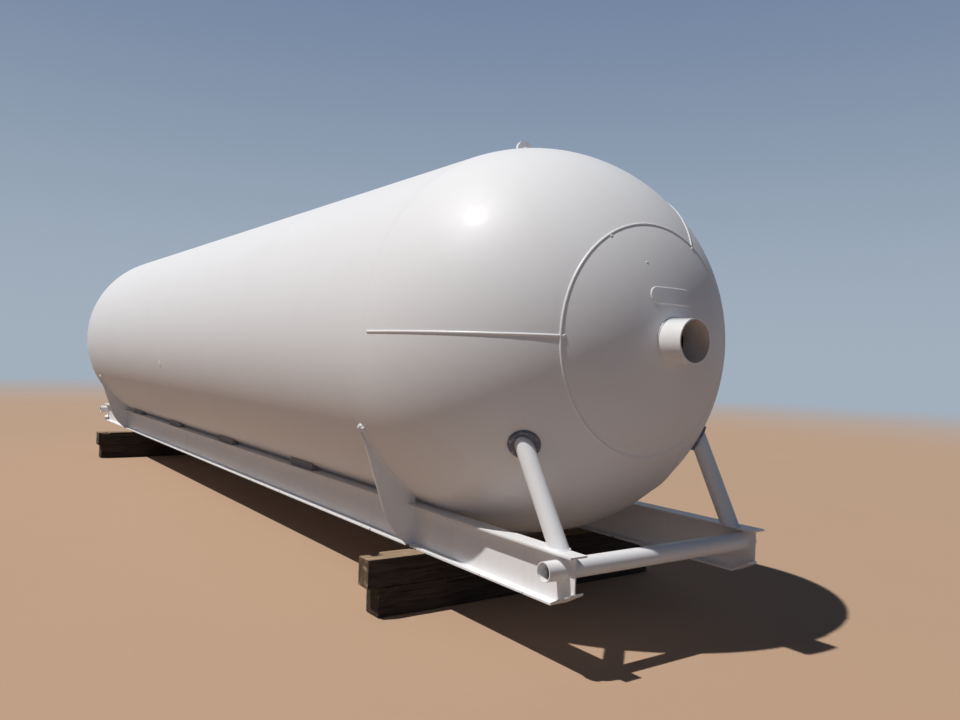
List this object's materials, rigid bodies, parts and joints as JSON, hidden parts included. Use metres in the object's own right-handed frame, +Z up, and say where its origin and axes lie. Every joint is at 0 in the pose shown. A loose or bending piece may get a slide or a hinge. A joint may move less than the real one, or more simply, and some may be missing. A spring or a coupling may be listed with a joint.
{
  "type": "horizontal pressure tank on a skid",
  "caption": "Long round steel pressure vessel with domed ends and an open end nozzle, on a beam skid that stands on stacked timbers; it stores liquefied gas.",
  "frame": {"origin": "on the ground at the centre of the whole object's box, seen from above", "axes": "+X along the tank axis towards the end with the nozzle, +Z up, +Y to the left of someone who looks along +X"},
  "size_m": [12.835, 2.768, 3.3981],
  "materials": {
    "tank_paint": "glossy white paint over welded plate",
    "skid_paint": "semi-gloss white paint on rolled beams, scuffed at the edges",
    "nozzle_paint": "glossy white outside, thin brown rust inside",
    "plate_paint": "bare data plate, painted over",
    "timber": "weathered rough-sawn timber, dark on the faces and tan on the cut ends"
  },
  "bodies": {
    "root": {"shell_course_1": "tank_paint", "shell_course_2": "tank_paint", "shell_course_3": "tank_paint", "shell_course_4": "tank_paint", "near_gore_top": "tank_paint", "near_gore_side": "tank_paint", "near_gore_bottom": "tank_paint", "near_crown": "tank_paint", "far_gore_top": "tank_paint", "far_gore_side": "tank_paint", "far_gore_bottom": "tank_paint", "far_crown": "tank_paint", "end_nozzle": "nozzle_paint", "lifting_lug": "tank_paint", "data_plate": "plate_paint", "left_rail": "skid_paint", "right_rail": "skid_paint", "near_pull_pipe": "skid_paint", "far_pull_pipe": "skid_paint", "near_left_strut": "skid_paint", "near_right_strut": "skid_paint", "far_left_strut": "skid_paint", "far_right_strut": "skid_paint", "near_strut_pads": "tank_paint", "far_strut_pads": "tank_paint", "near_saddle_web": "skid_paint", "far_saddle_web": "skid_paint", "near_left_horn": "skid_paint", "near_right_horn": "skid_paint", "far_left_horn": "skid_paint", "far_right_horn": "skid_paint", "left_filler_pads": "skid_paint", "right_filler_pads": "skid_paint", "near_timber_upper": "timber", "near_timber_lower": "timber", "far_timber_upper": "timber", "far_timber_lower": "timber"}
  },
  "joints": []
}
